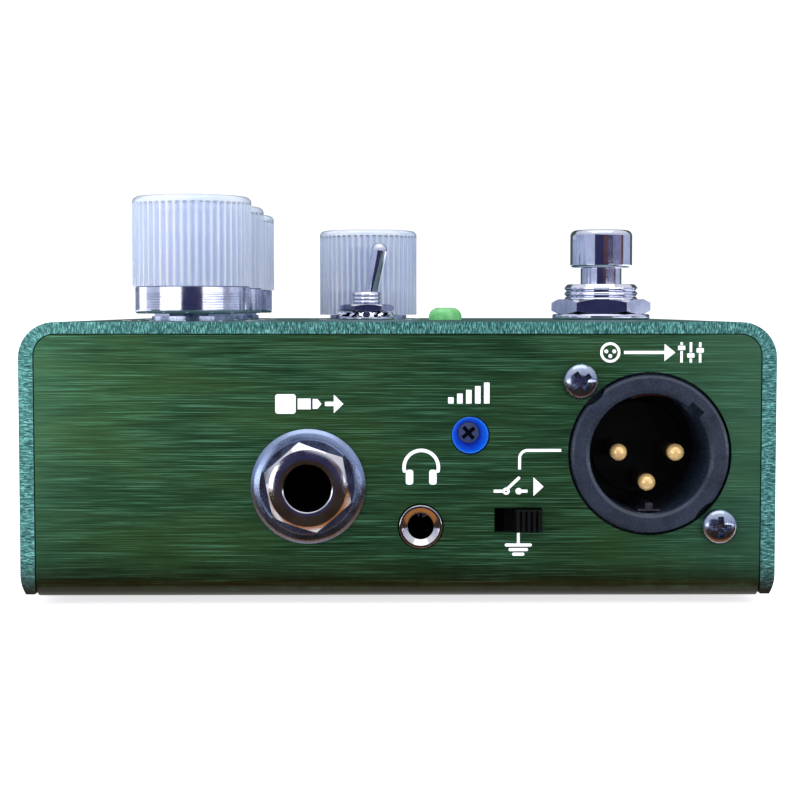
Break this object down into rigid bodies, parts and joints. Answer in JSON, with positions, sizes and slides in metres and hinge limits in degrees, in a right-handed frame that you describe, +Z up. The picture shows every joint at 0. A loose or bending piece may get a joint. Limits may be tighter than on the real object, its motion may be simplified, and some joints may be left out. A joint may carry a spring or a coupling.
{
  "type": "direct injection box",
  "caption": "Pedal-format direct injection box with a green metal case, clear fluted knobs, a toggle, a footswitch, jack outputs and a three-pin balanced connector.",
  "frame": {"origin": "on the floor under the middle of the enclosure, level with the underside of the rubber feet", "axes": "+Z up, -Y out of the connector end panel (outputs), +X from the row of tall knobs towards the footswitch"},
  "size_m": [0.1046, 0.1076, 0.0582],
  "materials": {
    "cover_green": "green anodised, fine satin brush along the ends",
    "panel_green": "green anodised, horizontally brushed",
    "zinc": "bright zinc plate",
    "rubber": "matt",
    "black_plastic": "moulded, low gloss",
    "gold": "gold plate",
    "nickel": "polished nickel",
    "washer_nickel": "satin nickel",
    "xlr_grey": "dark grey, satin",
    "trimmer_blue": "moulded blue",
    "rotor_grey": "light grey",
    "board_green": "solder resist",
    "ribbon_grey": "grey ribbon",
    "chrome": "polished chrome",
    "led_green": "diffused green lens",
    "knob_clear": "translucent ice-blue acrylic",
    "skirt_aluminium": "turned aluminium"
  },
  "bodies": {
    "enclosure": {"top_cover": "cover_green", "chassis": "panel_green", "base_screws": "zinc", "rubber_feet": "rubber", "output_jack_body": "black_plastic", "output_jack_contacts": "gold", "output_jack_nut": "nickel", "output_jack_washer": "washer_nickel", "input_jack_body": "black_plastic", "input_jack_contacts": "gold", "input_jack_nut": "nickel", "input_jack_washer": "washer_nickel", "headphone_jack_body": "black_plastic", "headphone_jack_contacts": "gold", "headphone_jack_barrel": "nickel", "xlr_housing": "xlr_grey", "xlr_insert": "black_plastic", "xlr_pins": "gold", "xlr_ground_contact": "zinc", "xlr_screws": "zinc", "trimmer_body": "trimmer_blue", "lift_switch_frame": "black_plastic", "main_board": "board_green", "small_board": "board_green", "ribbon_cable": "ribbon_grey", "front_pot_body": "zinc", "middle_pot_body": "zinc", "rear_pot_body": "zinc", "low_pot_body": "zinc", "pot_washers": "zinc", "pot_nuts": "zinc", "toggle_bushing": "chrome", "toggle_body": "black_plastic", "toggle_washers": "chrome", "toggle_nut": "chrome", "led_lens": "led_green", "led_legs": "zinc", "footswitch_bushing": "chrome", "footswitch_body": "black_plastic", "footswitch_terminals": "gold", "footswitch_spring": "zinc", "footswitch_washer": "chrome", "footswitch_nut": "chrome", "power_inlet_body": "black_plastic", "power_inlet_pin": "zinc"},
    "front_control": {"front_knob": "knob_clear", "front_knob_skirt": "skirt_aluminium", "front_pot_shaft": "zinc"},
    "middle_control": {"middle_knob": "knob_clear", "middle_knob_skirt": "skirt_aluminium", "middle_pot_shaft": "zinc"},
    "rear_control": {"rear_knob": "knob_clear", "rear_knob_skirt": "skirt_aluminium", "rear_pot_shaft": "zinc"},
    "low_control": {"low_knob": "knob_clear", "low_pot_shaft": "zinc"},
    "toggle": {"toggle_lever": "chrome"},
    "footswitch": {"footswitch_button": "chrome"},
    "lift_slider": {"lift_switch_slider": "black_plastic"},
    "trimmer": {"trimmer_rotor": "rotor_grey"}
  },
  "joints": [
    {"name": "front_knob_turn", "type": "hinge", "parent": "enclosure", "child": "front_control", "pos_m": [-0.0311, -0.026, 0.0395], "axis": [0, 0, 1], "range_deg": [-150, 150]},
    {"name": "middle_knob_turn", "type": "hinge", "parent": "enclosure", "child": "middle_control", "pos_m": [-0.0311, 0, 0.0395], "axis": [0, 0, 1], "range_deg": [-150, 150]},
    {"name": "rear_knob_turn", "type": "hinge", "parent": "enclosure", "child": "rear_control", "pos_m": [-0.0311, 0.026, 0.0395], "axis": [0, 0, 1], "range_deg": [-150, 150]},
    {"name": "low_knob_turn", "type": "hinge", "parent": "enclosure", "child": "low_control", "pos_m": [-0.0049, 0.026, 0.0395], "axis": [0, 0, 1], "range_deg": [-150, 150]},
    {"name": "toggle_tilt", "type": "hinge", "parent": "enclosure", "child": "toggle", "pos_m": [-0.00495, 0, 0.04], "axis": [0, 1, 0], "range_deg": [-22, 0]},
    {"name": "footswitch_press", "type": "slide", "parent": "enclosure", "child": "footswitch", "axis": [0, 0, -1], "range_m": [0, 0.0025], "stiffness_N_per_m": 1200, "springref_m": -0.0015, "deforming": ["footswitch_spring"]},
    {"name": "lift_slide", "type": "slide", "parent": "enclosure", "child": "lift_slider", "axis": [1, 0, 0], "range_m": [-0.0025, 0]},
    {"name": "trimmer_turn", "type": "hinge", "parent": "enclosure", "child": "trimmer", "pos_m": [0.01, -0.0452, 0.0238], "axis": [0, -1, 0], "range_deg": [-130, 130]}
  ]
}
